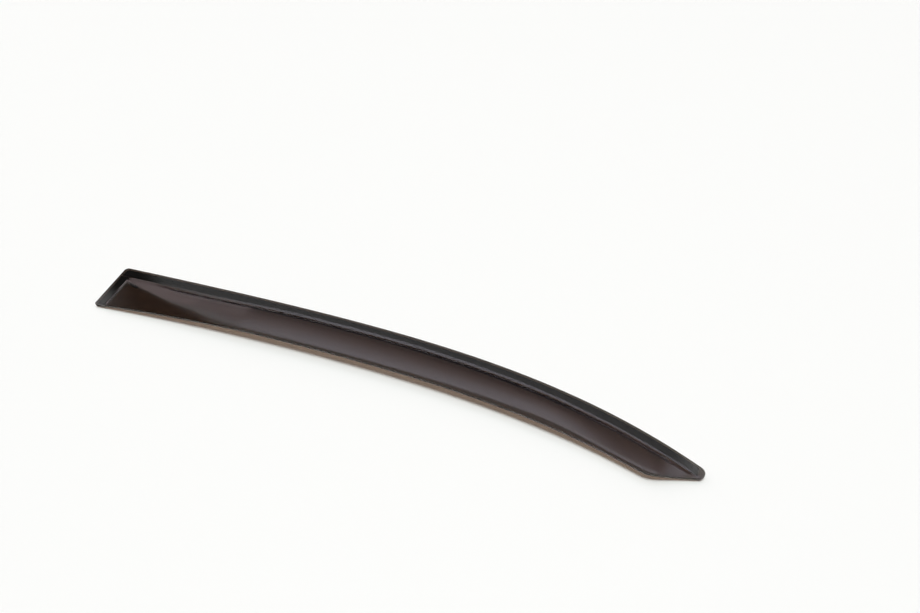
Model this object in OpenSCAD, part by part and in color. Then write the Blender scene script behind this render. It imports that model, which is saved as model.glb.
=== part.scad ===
// Rear-door window rain deflector: a visor thermoformed from one smoked acrylic sheet,
// with two strips of double-sided foam tape under its mounting flange.
// It lies tape down. X runs along the visor from its wide end to its tip, +Y points
// to the convex upper edge that follows the roof line, and +Z is the outer side.
// The sections are cut square to X, and all plan curves are heights above X.

/* [Outline] */
// Length from the wide end to the end of the tip
length = 640; // [560:5:720]
// Width of the visor at its wide end
end_width = 54; // [48:0.5:62]
// Width of the visor at mid length
mid_width = 48.3; // [42:0.1:56]
// Width that the visor would have at the tip if the tip were not cut away
tip_width = 39.1; // [34:0.5:44]
// Height of the upper edge at mid length above its start at the wide end
arch_rise = 35; // [26:0.5:42]
// Height of the upper edge at the tip above its start at the wide end
tip_rise_in_plan = 3.3; // [-6:0.1:10]
// Slope of the upper edge at the wide end, in degrees
upper_start_angle = 7.9; // [5:0.1:10]
// Slope of the upper edge at the tip, in degrees
upper_end_angle = 18.7; // [15:0.1:22]
// Slope of the free edge at the wide end, in degrees
free_start_angle = 11.5; // [8:0.1:14]
// Slope of the free edge at the tip, in degrees
free_end_angle = 15.8; // [13:0.1:19]
// How far the wide end leans out of square, in degrees
end_lean = 3.6; // [0:0.1:6]

/* [Corners] */
// Radius of the wide end's upper corner
upper_corner_r = 4; // [1:0.1:5]
// Radius of the wide end's lower corner
lower_corner_r = 3; // [1:0.1:6]
// Radius of the tip
tip_r = 6.4; // [5:0.1:9]
// Angle of the cut that brings the free edge up to the tip
tip_cut_angle = 20; // [15:0.5:28]
// Softness of the bend where the tip cut leaves the free edge
tip_bend = 5; // [1:0.1:8]

/* [Sheet] */
// Thickness of the acrylic sheet
sheet_t = 3; // [2:0.1:4]

/* [Mounting flange] */
// Width of the flange along the upper edge
upper_flange_w = 9.6; // [8:0.1:14]
// Width of the flange across the wide end
end_flange_w = 10.5; // [8:0.1:14]
// Radius of the inner corner where the two flanges meet
inner_corner_r = 5; // [2:0.1:8]

/* [Raised body] */
// Height of the step from the flange to the body
step_h = 5; // [4:0.1:6]
// Steepest angle of the step, in degrees
step_angle = 50; // [42:1:56]
// Radius at the foot of the step
step_foot_r = 2.5; // [1.5:0.1:3.5]
// Radius at the shoulder of the step
shoulder_r = 5; // [4.5:0.1:6]
// Slope of the body where it leaves the shoulder, in degrees
body_angle = 9; // [7:0.5:11]
// Height of the free edge above the flange where the body is full
free_edge_rise = 8.4; // [7.4:0.1:9.5]
// Height that the free edge would have at the tip if the tip were not cut away
free_edge_tip_rise = 4.4; // [4:0.1:6]
// Width of the strip along the free edge that is rolled down
edge_roll_w = 6; // [4:0.5:8]
// Angle by which the roll turns the sheet, in degrees
edge_roll_angle = 6; // [2:0.5:8]
// Length over which the step fades before the tip
step_fade_l = 110; // [80:5:140]
// Distance from the tip at which the step has faded
step_fade_end = 60; // [40:5:80]
// Share of the step that is gone once it has faded
step_fade_share = 0.5; // [0.3:0.05:0.7]
// Body width under which the body sinks to the flange at the tip
tip_sink_w = 27; // [20:1:30]

/* [Closed end ramp] */
// Length of the ramp from the end flange to the full body, along the free edge
ramp_l = 145; // [100:5:170]
// Height of the small step where the ramp leaves the end flange
end_step_h = 1; // [0.6:0.1:1.8]
// Width of that step
end_step_w = 2.2; // [1.6:0.1:3]
// How soon the ramp rises: 1 is a straight ramp
ramp_bow = 0.8; // [0.7:0.05:1]
// Length of the ramp over which the body keeps a plain nose before its step begins
nose_l = 25; // [20:1:50]
// Length over which the nose turns into the full step
nose_blend_l = 70; // [50:1:85]
// Width of the hollow at the foot of the nose
nose_foot_w = 2.5; // [1:0.1:4]
// Distance from the upper flange at which the ramp's crease begins
crease_start = 5; // [3:0.5:8]
// How soon the crease swings away from the flange: 1 is a straight crease
crease_bow = 0.8; // [0.6:0.05:1]
// Softness of the crease
crease_soft = 0.5; // [0.2:0.1:1]

/* [Foam tape] */
// Thickness of the tape
tape_t = 1.1; // [0.8:0.1:1.6]
// Width of the tape along the upper edge
upper_tape_w = 8; // [6:0.1:9]
// Width of the tape across the wide end
end_tape_w = 8; // [6:0.1:9]
// Distance from the sheet's outer edge to the tape
tape_inset = 1; // [0.5:0.1:2]
// Gap between the two strips at the corner
tape_gap = 1.5; // [0.5:0.1:4]

/* [Hidden] */

smoked_brown = [0.22, 0.17, 0.15, 0.85];
foam_black = [0.10, 0.10, 0.10];

// Numbers of steps along and across the sheet
step_rows = 9;
crown_rows = 6;
edge_rows = 3;
corner_stations = 4;
end_step_stations = 5;
ramp_stations = 18;
body_stations = 30;
cut_stations = 8;
tip_stations = 9;
tape_stations = 48;

// Share of the last section at the tip that belongs to the body rather than the flange
tip_body_share = 0.35;
// Angle up to which the tip's arc is stepped before it is closed by a short flat
tip_last_angle = 78;
// Part of the width up to the crease that the step's rows take at most
step_row_share = 0.8;
// Least width of the strip along the free edge that the edge rows keep
edge_strip_w = 1.5;
// Exponent with which the free edge comes down towards the tip
rise_falloff = 3;

function mix(a, b, t) = a + (b - a) * t;
function ease(t) = let (c = min(max(t, 0), 1)) c * c * (3 - 2 * c);
function soft_min(a, b, k) = min(a, b) - pow(max(k - abs(a - b), 0), 2) / (4 * k);
function soft_max(a, b, k) = max(a, b) + pow(max(k - abs(a - b), 0), 2) / (4 * k);

// A curve over the length, from its height and slope at both ends and its height at
// mid length. It is a Bernstein curve of degree four whose five heights stand a
// quarter of the length apart.
function heights(start, start_angle, mid, end_angle, end) =
    let (
        a = start + tan(start_angle) * length / 4,
        b = end + tan(end_angle) * length / 4
    )
    [start, a, (16 * mid - start - 4 * a - 4 * b - end) / 6, b, end];

function curve_y(h, x) =
    let (t = x / length, u = 1 - t)
    h[0] * u * u * u * u + 4 * h[1] * u * u * u * t + 6 * h[2] * u * u * t * t
    + 4 * h[3] * u * t * t * t + h[4] * t * t * t * t;

function curve_angle(h, x) =
    let (t = x / length, u = 1 - t)
    atan(4 * ((h[1] - h[0]) * u * u * u + 3 * (h[2] - h[1]) * u * u * t
    + 3 * (h[3] - h[2]) * u * t * t + (h[4] - h[3]) * t * t * t) / length);

upper_line = heights(0, upper_start_angle, arch_rise, upper_end_angle, tip_rise_in_plan);
free_line = heights(
    -end_width, free_start_angle, arch_rise - mid_width, free_end_angle,
    tip_rise_in_plan - tip_width
);

// The tip's arc touches the upper edge, and the tip cut touches the arc from below
tip_x = length - tip_r;
tip_angle = -curve_angle(upper_line, tip_x);
tip_touch_x = tip_x + tip_r * sin(tip_angle);
tip_y = curve_y(upper_line, tip_touch_x) - tip_r * cos(tip_angle);
cut_touch_x = tip_x + tip_r * sin(tip_cut_angle);
cut_touch_y = tip_y - tip_r * cos(tip_cut_angle);

function cut_y(x) = cut_touch_y + (x - cut_touch_x) * tan(tip_cut_angle);
function tip_half(x) = sqrt(max(tip_r * tip_r - (x - tip_x) * (x - tip_x), 0));

// Depth that a rounded corner of radius r takes away at a distance d from the end
function corner_cut(r, d) = d < r ? r - sqrt(r * r - (r - d) * (r - d)) : 0;

function upper_y(x) =
    x > tip_touch_x
        ? tip_y + tip_half(x)
        : curve_y(upper_line, x) - corner_cut(upper_corner_r, x);

function free_y(x) =
    x > cut_touch_x
        ? tip_y - tip_half(x)
        : soft_max(curve_y(free_line, x), cut_y(x), tip_bend)
            + corner_cut(lower_corner_r, x);

// Where the cut meets the free edge, taken as straight over the last stretch
cut_bend_x =
    (free_line[4] + length * tan(free_end_angle) - cut_touch_y
    + cut_touch_x * tan(tip_cut_angle)) / (tan(free_end_angle) + tan(tip_cut_angle));

// Factor from a distance square to the upper edge to one along the section
function along(x) = 1 / cos(curve_angle(upper_line, x));

// The line where the flange ends and the body begins
function flange_y(x) =
    max(
        upper_y(x) - upper_flange_w * along(x)
            - corner_cut(inner_corner_r, max(x - end_flange_w, 0)),
        mix(free_y(x), upper_y(x), tip_body_share)
    );
function body_w(x) = (flange_y(x) - free_y(x)) / along(x);
// Width of the body at x before the tip's cut narrows it
function full_w(x) = max(body_w(x), tip_sink_w);

// Sizes of the full section at x
ramp_end_x = end_flange_w + ramp_l;
function step_at(x) =
    step_h * (1 - step_fade_share
    * ease((x - (length - step_fade_end - step_fade_l)) / step_fade_l));
function step_angle_at(x) = atan(tan(step_angle) * step_at(x) / step_h);
function free_rise_at(x) =
    mix(free_edge_rise, free_edge_tip_rise,
        pow(min(max((x - ramp_end_x) / (length - ramp_end_x), 0), 1), rise_falloff));

// Height of the full section above the flange at a distance v from the flange:
// foot arc, straight riser, shoulder arc, and a crown whose last strip rolls down to
// the free edge
function full_z(x, v) =
    let (
        s = step_at(x),
        a = step_angle_at(x),
        foot_v = step_foot_r * sin(a),
        foot_z = step_foot_r * (1 - cos(a)),
        shoulder_z = s - shoulder_r * (cos(body_angle) - cos(a)),
        riser_v = foot_v + (shoulder_z - foot_z) / tan(a),
        centre_v = riser_v + shoulder_r * sin(a),
        shoulder_v = centre_v - shoulder_r * sin(body_angle)
    )
    v <= 0 ? 0
    : v < foot_v ? step_foot_r - sqrt(step_foot_r * step_foot_r - v * v)
    : v < riser_v ? foot_z + (v - foot_v) * tan(a)
    : v < shoulder_v
        ? s - shoulder_r * cos(body_angle)
            + sqrt(shoulder_r * shoulder_r - (v - centre_v) * (v - centre_v))
    : let (
        w = full_w(x) - shoulder_v,
        roll = tan(edge_roll_angle) / (2 * edge_roll_w),
        rise = free_rise_at(x) - s + roll * edge_roll_w * edge_roll_w,
        drop = (tan(body_angle) * w - rise) / (w * w)
    )
    s + (v - shoulder_v) * tan(body_angle) - drop * (v - shoulder_v) * (v - shoulder_v)
        - roll * pow(max(v - full_w(x) + edge_roll_w, 0), 2);

// Distance from the upper flange to the step's shoulder at x
function shoulder_at(x) =
    let (a = step_angle_at(x))
    step_foot_r * sin(a) + shoulder_r * (sin(a) - sin(body_angle))
    + (step_at(x) - shoulder_r * (cos(body_angle) - cos(a))
    - step_foot_r * (1 - cos(a))) / tan(a);

// The ramp rises from the end flange. Its crease runs from the inner corner to the free
// edge, and up to there the body is as high as the ramp is at the crease.
function crease_v(x) =
    mix(crease_start, body_w(ramp_end_x),
        pow(min(max((x - end_flange_w) / ramp_l, 0), 1), crease_bow));
function ramp_z(x) =
    let (d = max(x - end_flange_w, 0))
    ease(d / end_step_w)
    * (end_step_h + (free_edge_rise - end_step_h) * pow(d / ramp_l, ramp_bow));

// Beside the wide end the body is a plain nose that climbs evenly to the crease
function nose_z(x, v) =
    let (steep = ramp_z(x) / (crease_v(x) - nose_foot_w / 2))
    v <= 0 ? 0
    : v < nose_foot_w ? steep * v * v / (2 * nose_foot_w)
    : steep * (v - nose_foot_w / 2);

function body_share(x) =
    x < ramp_end_x
        ? ramp_z(x) / full_z(x, crease_v(x))
        : body_w(x) / full_w(x);
function body_z(x, v) =
    let (
        stepped = ease((x - end_flange_w - nose_l) / nose_blend_l),
        body = mix(nose_z(x, v), body_share(x) * full_z(x, v), stepped)
    )
    max(soft_min(ramp_z(x), body, min(crease_soft, 0.001 + ramp_z(x))), 0);

// Distances from the flange line at which the section at x has its points
function crease_row(x) =
    min(crease_v(x), full_w(x) - edge_roll_w, body_w(x) - edge_strip_w * min(1, body_w(x) / 4));
function step_row(x) = min(shoulder_at(x), step_row_share * crease_row(x));
function rows(x) =
    let (s = step_row(x), c = crease_row(x), w = body_w(x))
    [
        -(upper_y(x) - flange_y(x)) / along(x),
        for (i = [0:step_rows]) s * i / step_rows,
        for (i = [1:crown_rows]) mix(s, c, i / crown_rows),
        for (i = [1:edge_rows]) mix(c, w, i / edge_rows)
    ];

// Slope of a section's outer side at its point i
function slope_at(p, i) =
    let (a = p[max(i - 1, 0)], b = p[min(i + 1, len(p) - 1)])
    atan2(b[1] - a[1], b[0] - a[0]);

// The sheet's section at x as a closed ring: the outer side from the upper edge to the
// free edge, then the inner side back, one sheet thickness under it
function ring(x) =
    let (
        v = rows(x),
        outer = [for (a = v) [a, body_z(x, a)]],
        inner = [
            for (i = [len(outer) - 1:-1:0])
                let (a = i < 2 ? 0 : slope_at(outer, i))
                outer[i] + sheet_t * [sin(a), -cos(a)]
        ]
    )
    [for (p = concat(outer, inner)) in_plan(x, flange_y(x) - p[0] * along(x), p[1])];

// The wide end leans out of square, and the lean fades over the ramp
function lean_x(x, y) = x + y * tan(end_lean) * pow(max(1 - x / ramp_end_x, 0), 2);

// Places a point of a section in the part's frame
function in_plan(x, y, z) = [lean_x(x, y), y, z + tape_t + sheet_t] - plan_centre;

// Sections stand close together where the outline or the height turns
function spread(a, b, n) = [for (i = [1:n]) mix(a, b, i / n)];
cut_start_x = cut_bend_x - 15;
stations = concat(
    [for (i = [0:corner_stations]) lower_corner_r * (1 - cos(90 * i / corner_stations))],
    [end_flange_w],
    spread(end_flange_w, end_flange_w + end_step_w, end_step_stations),
    [
        for (i = [1:ramp_stations])
            mix(end_flange_w + end_step_w, ramp_end_x, pow(i / ramp_stations, 1.3))
    ],
    spread(ramp_end_x, cut_start_x, body_stations),
    spread(cut_start_x, cut_bend_x + 12, cut_stations),
    spread(cut_bend_x + 12, tip_x, cut_stations),
    [
        for (i = [1:tip_stations])
            tip_x + tip_r * sin(tip_last_angle * i / tip_stations)
    ]
);

// The middle of the outline's box, which is the part's origin
plan_left = min([for (x = stations) lean_x(x, free_y(x))]);
plan_right = max(stations);
plan_top = max([for (x = stations) upper_y(x)]);
plan_bottom = min([for (x = stations) free_y(x)]);
plan_centre = [(plan_left + plan_right) / 2, (plan_top + plan_bottom) / 2, 0];

// Skins a list of rings with equal numbers of points, and closes both ends
module loft(rings) {
    n = len(rings[0]);
    last = len(rings) - 1;
    sides = [
        for (i = [0:last - 1])
            for (j = [0:n - 1])
                let (
                    a = i * n + j,
                    b = i * n + (j + 1) % n
                )
                each [[a, a + n, b], [b, a + n, b + n]]
    ];
    ends = [
        [for (j = [0:n - 1]) j],
        [for (j = [n - 1:-1:0]) last * n + j]
    ];
    polyhedron([for (r = rings) each r], concat(sides, ends), convexity = 6);
}

module visor_shell() {
    color(smoked_brown)
        loft([for (x = stations) ring(x)]);
}

// A strip of tape: the plan outline between two lists of points
module tape(one_side, other_side) {
    color(foam_black)
        linear_extrude(tape_t)
            polygon(concat(one_side, [for (i = [len(other_side) - 1:-1:0]) other_side[i]]));
}

function flat(p) = [p[0], p[1]];

// Height in plan of a line at a distance d square to the upper edge
function inset_y(x, d) = curve_y(upper_line, x) - d * along(x);

// Runs along the whole upper flange, from the wide end to the tip
module upper_tape() {
    corner_x = tape_inset + upper_corner_r;
    x_list = concat(
        [
            for (i = [0:corner_stations])
                corner_x - upper_corner_r * cos(90 * i / corner_stations)
        ],
        spread(corner_x, tip_x, tape_stations)
    );
    tape(
        [
            for (x = x_list)
                flat(in_plan(x, inset_y(x, tape_inset)
                    - corner_cut(upper_corner_r, x - tape_inset), 0))
        ],
        [for (x = x_list) flat(in_plan(x, inset_y(x, tape_inset + upper_tape_w), 0))]
    );
}

// Runs down the end flange from the gap under the upper tape
module end_tape() {
    x0 = tape_inset;
    x1 = tape_inset + end_tape_w;
    tape(
        [
            for (x = [x0, x1])
                flat(in_plan(x, inset_y(x, tape_inset + upper_tape_w + tape_gap), 0))
        ],
        [for (x = [x0, x1]) flat(in_plan(x, curve_y(free_line, x) + lower_corner_r, 0))]
    );
}

visor_shell();
upper_tape();
end_tape();
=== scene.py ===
"""Rear-door window rain deflector in smoked acrylic, lying tape down on a white table."""
from math import atan, cos, radians, sin, sqrt, tan

import bpy
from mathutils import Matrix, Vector


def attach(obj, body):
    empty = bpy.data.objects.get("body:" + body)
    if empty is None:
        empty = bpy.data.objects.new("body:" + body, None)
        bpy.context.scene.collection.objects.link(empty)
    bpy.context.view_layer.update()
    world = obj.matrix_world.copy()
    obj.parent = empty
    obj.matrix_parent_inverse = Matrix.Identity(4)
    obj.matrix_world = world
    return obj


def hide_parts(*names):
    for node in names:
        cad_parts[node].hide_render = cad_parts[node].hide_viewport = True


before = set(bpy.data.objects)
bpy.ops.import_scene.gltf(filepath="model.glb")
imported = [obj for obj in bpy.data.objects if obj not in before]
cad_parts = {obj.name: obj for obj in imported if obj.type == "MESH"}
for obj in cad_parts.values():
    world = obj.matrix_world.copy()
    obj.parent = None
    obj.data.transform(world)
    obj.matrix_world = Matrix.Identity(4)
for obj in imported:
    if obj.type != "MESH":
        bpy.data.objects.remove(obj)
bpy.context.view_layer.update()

MM = 0.001

# Sizes of the visor in millimetres, as in the part's source
LENGTH = 640
END_WIDTH = 54
MID_WIDTH = 48.3
TIP_WIDTH = 39.1
ARCH_RISE = 35
TIP_RISE_IN_PLAN = 3.3
UPPER_START_ANGLE = radians(7.9)
UPPER_END_ANGLE = radians(18.7)
FREE_START_ANGLE = radians(11.5)
FREE_END_ANGLE = radians(15.8)
END_LEAN = radians(3.6)
UPPER_CORNER_R = 4
LOWER_CORNER_R = 3
TIP_R = 6.4
TIP_CUT_ANGLE = radians(20)
TIP_BEND = 5
SHEET_T = 3
UPPER_FLANGE_W = 9.6
END_FLANGE_W = 10.5
INNER_CORNER_R = 5
STEP_H = 5
STEP_ANGLE = radians(50)
STEP_FOOT_R = 2.5
SHOULDER_R = 5
BODY_ANGLE = radians(9)
FREE_EDGE_RISE = 8.4
FREE_EDGE_TIP_RISE = 4.4
EDGE_ROLL_W = 6
EDGE_ROLL_ANGLE = radians(6)
STEP_FADE_L = 110
STEP_FADE_END = 60
STEP_FADE_SHARE = 0.5
TIP_SINK_W = 27
RAMP_L = 145
END_STEP_H = 1
END_STEP_W = 2.2
RAMP_BOW = 0.8
NOSE_L = 25
NOSE_BLEND_L = 70
NOSE_FOOT_W = 2.5
CREASE_START = 5
CREASE_BOW = 0.8
CREASE_SOFT = 0.5
TAPE_T = 1.1
TIP_BODY_SHARE = 0.35
CREASE_LEAST = 0.001
STEP_ROW_SHARE = 0.8
EDGE_STRIP_W = 1.5
EDGE_STRIP_FULL_W = 4
EDGE_STRIP_LEAST = 0.02
ROW_LIMIT_SHARE = 0.98
RISE_FALLOFF = 3
WIDE_END_REACH = 20
OUTLINE_STEPS = 4000

# The soft turn between the flange and the step's foot: its width, its angle, and the
# body width from which it is full
FOOT_SOFT_W = 2
FOOT_TURN = radians(4.5)
FOOT_FULL_W = 8

# Places along the visor, each with how far the soft turn lies past the flange line
# there, and how far the foot's arc is set back from the turn
FOOT_LINE = (
    (40, 0, 1.5),
    (92, 2.6, 1.5),
    (207, 0.2, 1.5),
    (318, 0.3, 1.5),
    (427, 0.7, 1.5),
    (534, 1.4, 1.2),
    (575, 1.2, 1.1),
    (606, 0.6, 1.1),
    (LENGTH, 0, 0.5),
)
FOOT_LINE_SHARE = 0.2

# The rounding of the cut edges, and how finely these and the sections are stepped
ARRIS = 0.15
ARRIS_STEPS = 4
EDGE_FACE_STEPS = 3
FLANGE_ROWS = 14
STEP_ROWS = 30
CROWN_ROWS = 16
EDGE_ROWS = 8

# How many sections follow the corner, the end flange, its step, the facet, the body, the
# bend of the tip's cut, the cut and the tip
CORNER_SECTIONS = 8
END_FLANGE_SECTIONS = 6
END_STEP_SECTIONS = 14
FACET_SECTIONS = 70
FACET_CROWDING = 1.2
BODY_SECTIONS = 110
BEND_SECTIONS = 24
BEND_BEFORE = 15
BEND_AFTER = 12
CUT_SECTIONS = 30
TIP_SECTIONS = 22
TIP_LAST_ANGLE = radians(88)


def mix(a, b, t):
    """a where t is 0, b where it is 1."""
    return a + (b - a) * t


def ease(t):
    """0 under 0 and 1 over 1, eased between."""
    c = min(max(t, 0), 1)
    return c * c * (3 - 2 * c)


def soft_min(a, b, k):
    """The lower of two, rounded where they come within k of each other."""
    return min(a, b) - max(k - abs(a - b), 0) ** 2 / (4 * k)


def soft_max(a, b, k):
    """The higher of two, rounded where they come within k of each other."""
    return max(a, b) + max(k - abs(a - b), 0) ** 2 / (4 * k)


def heights(start, start_angle, mid, end_angle, end):
    """The five heights of a Bernstein curve from its ends, end slopes and middle."""
    a = start + tan(start_angle) * LENGTH / 4
    b = end + tan(end_angle) * LENGTH / 4
    return [start, a, (16 * mid - start - 4 * a - 4 * b - end) / 6, b, end]


def curve_y(h, x):
    """Height in plan of a Bernstein curve at x."""
    t = x / LENGTH
    u = 1 - t
    return (
        h[0] * u**4
        + 4 * h[1] * u**3 * t
        + 6 * h[2] * u * u * t * t
        + 4 * h[3] * u * t**3
        + h[4] * t**4
    )


def curve_angle(h, x):
    """Slope of a Bernstein curve at x, as an angle."""
    t = x / LENGTH
    u = 1 - t
    rise = (
        (h[1] - h[0]) * u**3
        + 3 * (h[2] - h[1]) * u * u * t
        + 3 * (h[3] - h[2]) * u * t * t
        + (h[4] - h[3]) * t**3
    )
    return atan(4 * rise / LENGTH)


UPPER_LINE = heights(0, UPPER_START_ANGLE, ARCH_RISE, UPPER_END_ANGLE, TIP_RISE_IN_PLAN)
FREE_LINE = heights(
    -END_WIDTH,
    FREE_START_ANGLE,
    ARCH_RISE - MID_WIDTH,
    FREE_END_ANGLE,
    TIP_RISE_IN_PLAN - TIP_WIDTH,
)

TIP_X = LENGTH - TIP_R
TIP_ANGLE = -curve_angle(UPPER_LINE, TIP_X)
TIP_TOUCH_X = TIP_X + TIP_R * sin(TIP_ANGLE)
TIP_Y = curve_y(UPPER_LINE, TIP_TOUCH_X) - TIP_R * cos(TIP_ANGLE)
CUT_TOUCH_X = TIP_X + TIP_R * sin(TIP_CUT_ANGLE)
CUT_TOUCH_Y = TIP_Y - TIP_R * cos(TIP_CUT_ANGLE)
CUT_BEND_X = (
    FREE_LINE[4]
    + LENGTH * tan(FREE_END_ANGLE)
    - CUT_TOUCH_Y
    + CUT_TOUCH_X * tan(TIP_CUT_ANGLE)
) / (tan(FREE_END_ANGLE) + tan(TIP_CUT_ANGLE))
RAMP_END_X = END_FLANGE_W + RAMP_L


def along(x):
    """Factor from a distance square to the upper edge to one along the section."""
    return 1 / cos(curve_angle(UPPER_LINE, x))


def corner_cut(r, d):
    """How far a corner of radius r takes the outline in, at d from its side."""
    return r - sqrt(max(r * r - (r - d) ** 2, 0)) if d < r else 0


def tip_half(x, inset):
    """Half the width of the rounded tip at x."""
    r = TIP_R - inset
    return sqrt(max(r * r - (x - TIP_X) ** 2, 0))


def upper_y(x, inset=0.0):
    """The upper edge, or a line the inset distance inside it."""
    if x > TIP_X + (TIP_R - inset) * sin(TIP_ANGLE):
        return TIP_Y + tip_half(x, inset)
    line = curve_y(UPPER_LINE, x) - inset * along(x)
    return line - corner_cut(UPPER_CORNER_R - inset, x - inset)


def free_y(x, inset=0.0):
    """The free edge and the tip's cut, or a line the inset distance inside them."""
    if x > TIP_X + (TIP_R - inset) * sin(TIP_CUT_ANGLE):
        return TIP_Y - tip_half(x, inset)
    line = curve_y(FREE_LINE, x) + inset / cos(curve_angle(FREE_LINE, x))
    cut = CUT_TOUCH_Y + (x - CUT_TOUCH_X) * tan(TIP_CUT_ANGLE) + inset / cos(TIP_CUT_ANGLE)
    return soft_max(line, cut, TIP_BEND) + corner_cut(LOWER_CORNER_R - inset, x - inset)


def flange_y(x):
    """The line where flange and body meet."""
    line = upper_y(x) - UPPER_FLANGE_W * along(x)
    line -= corner_cut(INNER_CORNER_R, max(x - END_FLANGE_W, 0))
    return max(line, mix(free_y(x), upper_y(x), TIP_BODY_SHARE))


def body_w(x):
    """Width of the body, square to the upper edge."""
    return (flange_y(x) - free_y(x)) / along(x)


def full_w(x):
    """Width of the body at x before the tip's cut narrows it."""
    return max(body_w(x), TIP_SINK_W)


def step_at(x):
    """Height of the step at x, which fades towards the tip."""
    fade = (x - (LENGTH - STEP_FADE_END - STEP_FADE_L)) / STEP_FADE_L
    return STEP_H * (1 - STEP_FADE_SHARE * ease(fade))


def step_angle_at(x):
    """Slope of the step's riser, which fades with its height."""
    return atan(tan(STEP_ANGLE) * step_at(x) / STEP_H)


def free_rise_at(x):
    """Height of the free edge over the flange."""
    t = min(max((x - RAMP_END_X) / (LENGTH - RAMP_END_X), 0), 1)
    return mix(FREE_EDGE_RISE, FREE_EDGE_TIP_RISE, t**RISE_FALLOFF)


def full_z(x, v):
    """Foot arc, riser, shoulder arc, and a crown whose last strip rolls down."""
    s = step_at(x)
    a = step_angle_at(x)
    foot_v = STEP_FOOT_R * sin(a)
    foot_z = STEP_FOOT_R * (1 - cos(a))
    shoulder_z = s - SHOULDER_R * (cos(BODY_ANGLE) - cos(a))
    riser_v = foot_v + (shoulder_z - foot_z) / tan(a)
    centre_v = riser_v + SHOULDER_R * sin(a)
    shoulder_v = centre_v - SHOULDER_R * sin(BODY_ANGLE)
    if v <= 0:
        return 0
    if v < foot_v:
        return STEP_FOOT_R - sqrt(STEP_FOOT_R**2 - v * v)
    if v < riser_v:
        return foot_z + (v - foot_v) * tan(a)
    if v < shoulder_v:
        arc = sqrt(SHOULDER_R**2 - (v - centre_v) ** 2)
        return s - SHOULDER_R * cos(BODY_ANGLE) + arc
    w = full_w(x) - shoulder_v
    roll = tan(EDGE_ROLL_ANGLE) / (2 * EDGE_ROLL_W)
    rise = free_rise_at(x) - s + roll * EDGE_ROLL_W**2
    drop = (tan(BODY_ANGLE) * w - rise) / (w * w)
    d = v - shoulder_v
    crown = s + d * tan(BODY_ANGLE) - drop * d * d
    return crown - roll * max(v - full_w(x) + EDGE_ROLL_W, 0) ** 2


def shoulder_at(x):
    """Distance from the flange line at x to the end of the shoulder."""
    a = step_angle_at(x)
    s = step_at(x)
    arcs = STEP_FOOT_R * sin(a) + SHOULDER_R * (sin(a) - sin(BODY_ANGLE))
    rise = s - SHOULDER_R * (cos(BODY_ANGLE) - cos(a)) - STEP_FOOT_R * (1 - cos(a))
    return arcs + rise / tan(a)


def crease_v(x):
    """Distance from the flange line at x to the crease between body and facet."""
    t = min(max((x - END_FLANGE_W) / RAMP_L, 0), 1)
    return mix(CREASE_START, body_w(RAMP_END_X), t**CREASE_BOW)


def ramp_z(x):
    """Height of the facet that closes the wide end, with its small step."""
    d = max(x - END_FLANGE_W, 0)
    rise = (FREE_EDGE_RISE - END_STEP_H) * (d / RAMP_L) ** RAMP_BOW
    return ease(d / END_STEP_W) * (END_STEP_H + rise)


def nose_z(x, v):
    """Height of the body where it starts as a plain slope up to the crease."""
    steep = ramp_z(x) / (crease_v(x) - NOSE_FOOT_W / 2)
    if v <= 0:
        return 0
    if v < NOSE_FOOT_W:
        return steep * v * v / (2 * NOSE_FOOT_W)
    return steep * (v - NOSE_FOOT_W / 2)


def foot_lift(x, v):
    """The flange turns up gently before the step's foot, as a formed sheet does."""
    share = ease((x - END_FLANGE_W - NOSE_L) / NOSE_BLEND_L) * ease(body_w(x) / FOOT_FULL_W)
    turn = tan(FOOT_TURN) * share
    if v <= -FOOT_SOFT_W:
        return 0
    if v < 0:
        return turn * (v + FOOT_SOFT_W) ** 2 / (2 * FOOT_SOFT_W)
    reach = shoulder_at(x)
    t = min(v / reach, 1)
    start = turn * FOOT_SOFT_W / 2
    return start * (2 * t**3 - 3 * t * t + 1) + turn * reach * (t**3 - 2 * t * t + t)


def foot_line(x):
    """The turn's distance past the flange line at x, and the arc's past the turn."""
    place, back = FOOT_LINE[0][1:]
    for before, after in zip(FOOT_LINE, FOOT_LINE[1:]):
        if x > before[0]:
            share = ease((x - before[0]) / (after[0] - before[0]))
            place = mix(before[1], after[1], share)
            back = mix(before[2], after[2], share)
    return min(place, FOOT_LINE_SHARE * body_w(x)), back


def surface_z(x, v):
    """Height of the dressed sheet's outer side, its foot moved and softened."""
    place, back = foot_line(x)
    settled = v - place * (1 - ease(v / body_w(x)))
    coming = ease((settled + FOOT_SOFT_W) / FOOT_SOFT_W)
    going = 1 - ease(settled / shoulder_at(x))
    return body_z(x, settled - back * coming * going) + foot_lift(x, settled)


def body_z(x, v):
    """Height of the sheet's outer side above the flange."""
    ramp = ramp_z(x)
    share = body_w(x) / full_w(x) if x >= RAMP_END_X else ramp / full_z(x, crease_v(x))
    stepped = ease((x - END_FLANGE_W - NOSE_L) / NOSE_BLEND_L)
    body = mix(nose_z(x, v), share * full_z(x, v), stepped)
    return max(soft_min(ramp, body, min(CREASE_SOFT, CREASE_LEAST + ramp)), 0)


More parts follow.
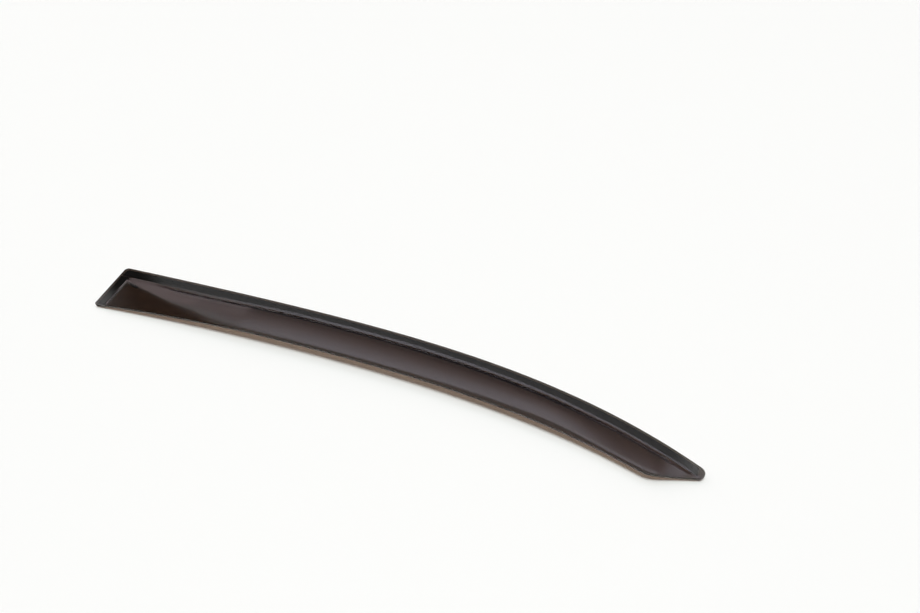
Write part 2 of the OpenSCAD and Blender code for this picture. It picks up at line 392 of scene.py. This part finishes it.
def rows(x):
    """Distances from the flange line at which the section at x has its points."""
    width = body_w(x)
    strip = EDGE_STRIP_W * min(1, width / EDGE_STRIP_FULL_W)
    crease = min(crease_v(x), full_w(x) - EDGE_ROLL_W, width - strip)
    step = min(shoulder_at(x) + foot_line(x)[0], STEP_ROW_SHARE * crease)
    first = -(upper_y(x, ARRIS) - flange_y(x)) / along(x)
    last = max((flange_y(x) - free_y(x, ARRIS)) / along(x), EDGE_STRIP_LEAST)
    crease = min(crease, last * ROW_LIMIT_SHARE)
    step = min(step, crease * ROW_LIMIT_SHARE)
    flange = [mix(first, 0, i / FLANGE_ROWS) for i in range(FLANGE_ROWS)]
    riser = [step * i / STEP_ROWS for i in range(STEP_ROWS)]
    crown = [mix(step, crease, i / CROWN_ROWS) for i in range(CROWN_ROWS)]
    edge = [mix(crease, last, i / EDGE_ROWS) for i in range(EDGE_ROWS + 1)]
    return flange + riser + crown + edge


def lean_x(x, y):
    """Where x lies once the wide end leans in plan."""
    return x + y * tan(END_LEAN) * max(1 - x / RAMP_END_X, 0) ** 2


def spread(a, b, n):
    """n even steps from a, which is left out, to b."""
    return [mix(a, b, i / n) for i in range(1, n + 1)]


def stations():
    """Places of the sections along the visor, closer where the form turns."""
    places = [ARRIS]
    for i in range(1, CORNER_SECTIONS + 1):
        turned = cos(radians(90) * i / CORNER_SECTIONS)
        places.append(ARRIS + (UPPER_CORNER_R - ARRIS) * (1 - turned))
    facet_start = END_FLANGE_W + END_STEP_W
    places += spread(places[-1], END_FLANGE_W, END_FLANGE_SECTIONS)
    places += spread(END_FLANGE_W, facet_start, END_STEP_SECTIONS)
    for i in range(1, FACET_SECTIONS + 1):
        places.append(mix(facet_start, RAMP_END_X, (i / FACET_SECTIONS) ** FACET_CROWDING))
    places += spread(RAMP_END_X, CUT_BEND_X - BEND_BEFORE, BODY_SECTIONS)
    places += spread(CUT_BEND_X - BEND_BEFORE, CUT_BEND_X + BEND_AFTER, BEND_SECTIONS)
    places += spread(CUT_BEND_X + BEND_AFTER, TIP_X, CUT_SECTIONS)
    for i in range(1, TIP_SECTIONS + 1):
        turned = sin(TIP_LAST_ANGLE * i / TIP_SECTIONS)
        places.append(TIP_X + (TIP_R - ARRIS) * turned)
    return places


def plan_centre():
    """The middle of the outline's box, which is the part's origin."""
    steps = [LENGTH * i / OUTLINE_STEPS for i in range(OUTLINE_STEPS + 1)]
    left = min(lean_x(x, free_y(x)) for x in steps if x < WIDE_END_REACH)
    top = max(upper_y(x) for x in steps)
    bottom = min(free_y(x) for x in steps)
    return (left + LENGTH) / 2, (top + bottom) / 2


CENTRE_X, CENTRE_Y = plan_centre()


def in_plan(x, y, z):
    """Places a point of a section in the part's frame, in metres."""
    place = Vector((lean_x(x, y) - CENTRE_X, y - CENTRE_Y, z + TAPE_T + SHEET_T))
    return place * MM


def section(x):
    """Outer and inner side of the sheet at x, from the upper edge to the free edge."""
    v = rows(x)
    z = [surface_z(x, a) for a in v]
    outer = []
    inner = []
    for i in range(len(v)):
        before = max(i - 1, 0)
        after = min(i + 1, len(v) - 1)
        slope = 0.0
        if i >= FLANGE_ROWS:
            slope = atan((z[after] - z[before]) / (v[after] - v[before]))
        outer.append((v[i], z[i]))
        inner.append((v[i] + SHEET_T * sin(slope), z[i] - SHEET_T * cos(slope)))
    base = flange_y(x)
    factor = along(x)
    return [[in_plan(x, base - p[0] * factor, p[1]) for p in side] for side in (outer, inner)]


def outward(loop):
    """Plan normals of a closed loop of points, pointing away from the sheet."""
    area = sum(a.x * b.y - b.x * a.y for a, b in zip(loop, loop[1:] + loop[:1]))
    turn = 1 if area > 0 else -1
    normals = []
    for i, p in enumerate(loop):
        before = (p - loop[i - 1]).to_2d().normalized()
        after = (loop[(i + 1) % len(loop)] - p).to_2d().normalized()
        way = (before + after).normalized()
        normals.append(Vector((way.y * turn, -way.x * turn, 0)))
    return normals


def visor_mesh():
    """The moulded sheet as one closed skin, with small rounded arrises at its cut edges."""
    sections = [section(x) for x in stations()]
    n = len(sections)
    m = len(sections[0][0])
    points = [p for s in sections for p in s[0]] + [p for s in sections for p in s[1]]
    under = n * m
    faces = []
    for i in range(n - 1):
        for j in range(m - 1):
            a = i * m + j
            faces.append((a, a + 1, a + m + 1, a + m))
            faces.append((under + a, under + a + m, under + a + m + 1, under + a + 1))
    sheet_faces = len(faces)

    # The border runs down the wide end, along the free edge, over the tip and back
    border = list(range(m))
    border += [i * m + m - 1 for i in range(1, n)]
    border += [(n - 1) * m + j for j in range(m - 2, -1, -1)]
    border += [i * m for i in range(n - 2, 0, -1)]
    normals = outward([points[k] for k in border])
    arcs = [radians(90) * i / ARRIS_STEPS for i in range(1, ARRIS_STEPS + 1)]
    profile = [(ARRIS * (1 - cos(t)), ARRIS * sin(t)) for t in arcs]
    depth = SHEET_T - 2 * ARRIS
    profile += [
        (ARRIS + depth * i / EDGE_FACE_STEPS, ARRIS) for i in range(1, EDGE_FACE_STEPS + 1)
    ]
    profile += [(SHEET_T - d, o) for d, o in reversed(profile[: ARRIS_STEPS - 1])]
    ring = border
    for depth_in, out in profile:
        start = len(points)
        for k, normal in zip(border, normals):
            place = points[k].lerp(points[under + k], depth_in / SHEET_T)
            points.append(place + normal * out * MM)
        faces += band(ring, list(range(start, len(points))))
        ring = list(range(start, len(points)))
    faces += band(ring, [under + k for k in border])
    return points, faces, sheet_faces, set(border) | {under + k for k in border}


def band(upper, lower):
    """Quads between two loops of equal length, one under the other."""
    count = len(upper)
    return [
        (upper[k], lower[k], lower[(k + 1) % count], upper[(k + 1) % count])
        for k in range(count)
    ]


def build_visor():
    """The dressed sheet as one piece, its second material slot on the cut edges."""
    points, faces, sheet_faces, borders = visor_mesh()
    mesh = bpy.data.meshes.new("visor")
    mesh.from_pydata(points, [], faces)
    mesh.validate()
    mesh.polygons.foreach_set("use_smooth", [True] * len(mesh.polygons))
    mesh.polygons.foreach_set("material_index", [int(k >= sheet_faces) for k in range(len(faces))])
    sharp = mesh.attributes.new("sharp_edge", "BOOLEAN", "EDGE")
    sharp.data.foreach_set("value", [borders.issuperset(edge.vertices) for edge in mesh.edges])
    mesh.update()
    piece = bpy.data.objects.new("visor", mesh)
    bpy.context.scene.collection.objects.link(piece)
    return piece


class Nodes:
    """Short names for the nodes of one material or world."""

    def __init__(self, tree):
        self.tree = tree
        tree.nodes.clear()

    def add(self, kind, **values):
        node = self.tree.nodes.new(kind)
        for key, value in values.items():
            setattr(node, key, value)
        return node

    def link(self, source, target):
        self.tree.links.new(source, target)

    def feed(self, socket, value):
        if isinstance(value, bpy.types.NodeSocket):
            self.link(value, socket)
        else:
            socket.default_value = value

    def math(self, operation, *values):
        node = self.add("ShaderNodeMath", operation=operation)
        for socket, value in zip(node.inputs, values):
            self.feed(socket, value)
        return node.outputs[0]

    def product(self, *values):
        """All values multiplied."""
        made = values[0]
        for value in values[1:]:
            made = self.math("MULTIPLY", made, value)
        return made

    def arch(self, height, azimuth, slope, bow):
        """The height above a border that climbs to the right and bows down at both ends."""
        tilted = self.math("SUBTRACT", height, self.math("MULTIPLY", azimuth, slope))
        return self.math("ADD", tilted, self.product(azimuth, azimuth, bow))

    def dot(self, value, direction):
        node = self.add("ShaderNodeVectorMath", operation="DOT_PRODUCT")
        self.link(value, node.inputs[0])
        node.inputs[1].default_value = direction
        return node.outputs["Value"]

    def mixed(self, share, low, high):
        """low where share is 0, high where it is 1."""
        node = self.add("ShaderNodeMix", data_type="FLOAT")
        self.feed(node.inputs[0], share)
        self.feed(node.inputs[2], low)
        self.feed(node.inputs[3], high)
        return node.outputs[0]

    def tinted(self, share, first, second):
        """As mixed, for colours."""
        node = self.add("ShaderNodeMix", data_type="RGBA")
        self.feed(node.inputs[0], share)
        self.feed(node.inputs[6], first)
        self.feed(node.inputs[7], second)
        return node.outputs[2]

    def rise(self, value, low, high):
        """0 under low and 1 over high, eased between."""
        node = self.add("ShaderNodeMapRange", interpolation_type="SMOOTHSTEP")
        self.feed(node.inputs["Value"], value)
        node.inputs["From Min"].default_value = low
        node.inputs["From Max"].default_value = high
        return node.outputs[0]

    def fall(self, value, low, high):
        return self.math("SUBTRACT", 1.0, self.rise(value, low, high))

    def noise(self, coordinates, scale, detail):
        node = self.add("ShaderNodeTexNoise")
        self.link(coordinates, node.inputs["Vector"])
        node.inputs["Scale"].default_value = scale
        node.inputs["Detail"].default_value = detail
        return node.outputs["Fac"]

    def scaled(self, value, low, high):
        """A value from 0 to 1 taken to low to high."""
        node = self.add("ShaderNodeMapRange")
        self.feed(node.inputs["Value"], value)
        node.inputs["To Min"].default_value = low
        node.inputs["To Max"].default_value = high
        return node.outputs[0]

    def bump(self, height, strength, distance, before=None):
        node = self.add("ShaderNodeBump")
        node.inputs["Strength"].default_value = strength
        node.inputs["Distance"].default_value = distance
        self.link(height, node.inputs["Height"])
        if before is not None:
            self.link(before, node.inputs["Normal"])
        return node.outputs[0]


def material(name):
    made = bpy.data.materials.new(name)
    made.use_nodes = True
    return made, Nodes(made.node_tree)


WHITE = (1, 1, 1, 1)

# The acrylic's tint and how dense it is, and what a shadow ray keeps at each skin
TINT = (0.279, 0.158, 0.065, 1)
DENSITY = 1000.0
ACRYLIC_IOR = 1.49
SHADOW_PASS = (0.82, 0.82, 0.82, 1)

# Scale and detail of the skin's wear and of the formed sheet's faint waves, and how the
# waves and the grain stand out: strength, and height in metres
WEAR = (60, 5)
WAVES = (28, 1)
WAVE_BUMP = (0.15, 0.00008)
GRAIN_DETAIL = 3
GRAIN_BUMP = (0.5, 0.000004)

# Lowest and highest roughness, scale of the grain, and tint of what is mirrored
SHEET_FINISH = (0.015, 0.05, 900, WHITE)
CUT_FINISH = (0.06, 0.12, 2500, (1, 0.8, 0.7, 1))

# The foam's two tones, the scale and detail of its blotches and of its sheen, its
# roughness, and the scale of its cells and how they stand out
FOAM_DARK = (0.012, 0.012, 0.012, 1)
FOAM_PALE = (0.030, 0.029, 0.028, 1)
FOAM_BLOTCHES = (700, 3)
FOAM_SHEEN = (300, 2)
FOAM_ROUGHNESS = (0.85, 1.0)
FOAM_CELL_SCALE = 1800
FOAM_BUMP = (0.6, 0.0002)

TABLE_COLOUR = (0.93, 0.93, 0.93, 1)
TABLE_GLOSS = 0.2
TABLE_SHEEN = (3, 2)
TABLE_ROUGHNESS = (0.6, 0.7)
TABLE_HALF = 4.0


def smoked_acrylic(name, low_roughness, high_roughness, grain, mirrored):
    """Clear tinted acrylic: it takes light away with depth and mirrors at its skin."""
    made, n = material(name)
    place = n.add("ShaderNodeTexCoord").outputs["Object"]
    gloss = n.add("ShaderNodeBsdfPrincipled")
    gloss.inputs["Base Color"].default_value = WHITE
    gloss.inputs["Transmission Weight"].default_value = 1
    gloss.inputs["IOR"].default_value = ACRYLIC_IOR
    gloss.inputs["Specular Tint"].default_value = mirrored
    wear = n.noise(place, *WEAR)
    n.link(n.scaled(wear, low_roughness, high_roughness), gloss.inputs["Roughness"])
    wave = n.bump(n.noise(place, *WAVES), *WAVE_BUMP)
    skin = n.bump(n.noise(place, grain, GRAIN_DETAIL), *GRAIN_BUMP, wave)
    n.link(skin, gloss.inputs["Normal"])
    clear = n.add("ShaderNodeBsdfTransparent")
    clear.inputs["Color"].default_value = SHADOW_PASS
    blend = n.add("ShaderNodeMixShader")
    n.link(n.add("ShaderNodeLightPath").outputs["Is Shadow Ray"], blend.inputs[0])
    n.link(gloss.outputs[0], blend.inputs[1])
    n.link(clear.outputs[0], blend.inputs[2])
    out = n.add("ShaderNodeOutputMaterial")
    n.link(blend.outputs[0], out.inputs["Surface"])
    tint = n.add("ShaderNodeVolumeAbsorption")
    tint.inputs["Color"].default_value = TINT
    tint.inputs["Density"].default_value = DENSITY
    n.link(tint.outputs[0], out.inputs["Volume"])
    return made


def foam():
    """Black closed-cell foam with a fine open grain on its sides."""
    made, n = material("foam_tape")
    place = n.add("ShaderNodeTexCoord").outputs["Object"]
    cells = n.add("ShaderNodeTexVoronoi", feature="DISTANCE_TO_EDGE")
    n.link(place, cells.inputs["Vector"])
    cells.inputs["Scale"].default_value = FOAM_CELL_SCALE
    body = n.add("ShaderNodeBsdfPrincipled")
    tone = n.add("ShaderNodeValToRGB")
    tone.color_ramp.elements[0].color = FOAM_DARK
    tone.color_ramp.elements[1].color = FOAM_PALE
    n.link(n.noise(place, *FOAM_BLOTCHES), tone.inputs[0])
    n.link(tone.outputs[0], body.inputs["Base Color"])
    rough = n.scaled(n.noise(place, *FOAM_SHEEN), *FOAM_ROUGHNESS)
    n.link(rough, body.inputs["Roughness"])
    n.link(n.bump(cells.outputs["Distance"], *FOAM_BUMP), body.inputs["Normal"])
    out = n.add("ShaderNodeOutputMaterial")
    n.link(body.outputs[0], out.inputs["Surface"])
    return made


def table_top():
    """Plain pale table, a little uneven in its sheen."""
    made, n = material("table_top")
    place = n.add("ShaderNodeTexCoord").outputs["Object"]
    body = n.add("ShaderNodeBsdfPrincipled")
    body.inputs["Base Color"].default_value = TABLE_COLOUR
    body.inputs["Specular IOR Level"].default_value = TABLE_GLOSS
    rough = n.scaled(n.noise(place, *TABLE_SHEEN), *TABLE_ROUGHNESS)
    n.link(rough, body.inputs["Roughness"])
    out = n.add("ShaderNodeOutputMaterial")
    n.link(body.outputs[0], out.inputs["Surface"])
    return made


# Where the photographer stood, how far the view looks down, its lens and sensor in
# millimetres, and its level directions as seen from above
CAMERA_PLACE = (0.22710, -0.36342, 0.71488)
CAMERA_PITCH = radians(55)
CAMERA_LENS = 32.05
SENSOR_W = 36
FORWARD = Vector((-0.37685, 0.92627, 0))
RIGHT = Vector((0.92627, 0.37685, 0))

# Where the key light hangs, how far it reaches from its middle, its level, and the
# level at which the gloss mirrors it, as a lamp behind a diffuser
KEY_TILT = radians(7)
KEY_WAY = FORWARD * sin(KEY_TILT) + Vector((0, 0, cos(KEY_TILT)))
KEY_INNER = radians(7)
KEY_OUTER = radians(12.5)
KEY_LEVEL = 24
KEY_MIRRORED = 2.4

# The level of the open room, and of white where the camera sees the world itself
ROOM_LEVEL = 0.8
PLAIN_LEVEL = 1.0

# The panel's two arched borders: how they climb to the right and bow down at both ends
LOW_BORDER = (0.24, 0.006)
HIGH_BORDER = (0.14, 0.005)

# The room's zones, each laid over those before it, with its level and its edges. An edge
# comes up or goes down between two figures of a measure. All measures are in degrees:
# azimuth to the right of the camera's view, aside to either side of it, height above the
# table, and low and high above the two borders.
ZONES = (
    # A dim sill under the panel, and the dark room beside and behind the camera
    ("sill", 0.5, (("down", "low", 46, 52),)),
    ("room", 0.07, (("up", "aside", 45, 58),)),
    # The dark under the sill
    ("under", 0.1, (
        ("down", "azimuth", 23, 28),
        ("down", "low", 38, 41),
    )),
    # A window low on the left shows in the nose, a pale wall beside it in the end's step
    ("window", 1.38, (
        ("down", "azimuth", -18, -12),
        ("up", "azimuth", -38, -32),
        ("up", "height", 10, 30),
        ("down", "height", 36, 41),
    )),
    ("wall", 1.5, (
        ("down", "azimuth", -40, -36),
        ("up", "azimuth", -75, -60),
        ("up", "height", 0, 6),
        ("down", "height", 36, 40),
    )),
    # A dark curtain over the window
    ("curtain", 0.1, (
        ("down", "azimuth", -29.5, -27),
        ("up", "azimuth", -43, -37),
        ("up", "height", 37, 41),
        ("down", "height", 47, 48.5),
    )),
    # A panel on the left shows in the end flange, with a dark corner beside it
    ("left", 1.8, (
        ("down", "azimuth", -38, -34.5),
        ("up", "azimuth", -55, -45),
        ("up", "height", 46.5, 48.5),
        ("down", "height", 55, 62),
    )),
    ("corner", 0.12, (
        ("down", "azimuth", -33, -30.5),
        ("up", "azimuth", -36.5, -35),
        ("up", "height", 46, 48),
        ("down", "height", 50, 54),
    )),
    # The panel before the camera shows in the body: lit softly from its lower border up,
    # cut off sharply along its upper border, and fading to the left
    ("panel", 2.15, (
        ("up", "low", 41, 53),
        ("down", "high", 56.5, 58),
        ("up", "azimuth", -37, -9),
        ("down", "azimuth", 42, 60),
    )),
    # A panel on the right shows in the tip
    ("right", 2.0, (
        ("up", "azimuth", 31, 36),
        ("down", "azimuth", 40, 60),
        ("up", "height", 50, 58),
        ("down", "height", 64, 68),
    )),
)

# Colours of the light, laid over one another in this order
TINTS = (
    ("sill", (1.12, 0.93, 0.96, 1)),
    ("panel", (1.06, 1.01, 1.13, 1)),
    ("window", (1.1, 0.93, 0.97, 1)),
    ("key", (0.99, 1.02, 0.98, 1)),
)


def zone(n, measures, edges):
    """The share of a zone: 1 inside all its edges, 0 outside any of them."""
    shares = []
    for way, measure, low, high in edges:
        eased = n.rise if way == "up" else n.fall
        shares.append(eased(measures[measure], low, high))
    return n.product(*shares)


def build_world():
    """Soft studio panels in a dim white room; the camera itself sees plain white."""
    world = bpy.data.worlds.new("studio")
    world.use_nodes = True
    bpy.context.scene.world = world
    n = Nodes(world.node_tree)
    way = n.add("ShaderNodeTexCoord").outputs["Generated"]
    split = n.add("ShaderNodeSeparateXYZ")
    n.link(way, split.inputs[0])
    azimuth = n.math("DEGREES", n.math("ARCTAN2", n.dot(way, RIGHT), n.dot(way, FORWARD)))
    height = n.math("DEGREES", n.math("ARCSINE", split.outputs["Z"]))
    measures = {
        "azimuth": azimuth,
        "aside": n.math("ABSOLUTE", azimuth),
        "height": height,
        "low": n.arch(height, azimuth, *LOW_BORDER),
        "high": n.arch(height, azimuth, *HIGH_BORDER),
    }
    shares = {"key": n.rise(n.dot(way, KEY_WAY), cos(KEY_OUTER), cos(KEY_INNER))}
    level = ROOM_LEVEL
    for name, zone_level, edges in ZONES:
        shares[name] = zone(n, measures, edges)
        level = n.mixed(shares[name], level, zone_level)

    path = n.add("ShaderNodeLightPath")
    key_level = n.mixed(path.outputs["Is Glossy Ray"], KEY_LEVEL, KEY_MIRRORED)
    level = n.mixed(shares["key"], level, key_level)
    plain = n.math("MAXIMUM", path.outputs["Is Camera Ray"], path.outputs["Is Transmission Ray"])
    level = n.mixed(plain, level, PLAIN_LEVEL)

    tint = WHITE
    for name, colour in TINTS:
        tint = n.tinted(shares[name], tint, colour)
    tint = n.tinted(plain, tint, WHITE)
    light = n.add("ShaderNodeBackground")
    n.link(tint, light.inputs["Color"])
    n.link(level, light.inputs["Strength"])
    out = n.add("ShaderNodeOutputWorld")
    n.link(light.outputs[0], out.inputs["Surface"])


def build_table():
    """The white table under the visor, which is no part of it."""
    mesh = bpy.data.meshes.new("table")
    half = TABLE_HALF
    corners = [(-half, -half, 0), (half, -half, 0), (half, half, 0), (-half, half, 0)]
    mesh.from_pydata(corners, [], [(0, 1, 2, 3)])
    table = bpy.data.objects.new("table", mesh)
    bpy.context.scene.collection.objects.link(table)
    table.data.materials.append(table_top())


def build_camera():
    """The photograph's camera, solved from its perspective."""
    data = bpy.data.cameras.new("camera")
    data.sensor_width = SENSOR_W
    data.lens = CAMERA_LENS
    camera = bpy.data.objects.new("camera", data)
    camera.location = CAMERA_PLACE
    look = FORWARD * cos(CAMERA_PITCH) - Vector((0, 0, sin(CAMERA_PITCH)))
    camera.rotation_euler = look.to_track_quat("-Z", "Y").to_euler()
    bpy.context.scene.collection.objects.link(camera)
    bpy.context.scene.camera = camera


build_camera()
build_world()
build_table()

visor = build_visor()
visor.data.materials.append(smoked_acrylic("smoked_acrylic", *SHEET_FINISH))
visor.data.materials.append(smoked_acrylic("cut_acrylic", *CUT_FINISH))
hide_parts("visor_shell")
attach(visor, "root")

tape_material = foam()
for name in ("upper_tape", "end_tape"):
    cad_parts[name].material_slots[0].material = tape_material

bpy.context.scene.view_settings.view_transform = "Standard"
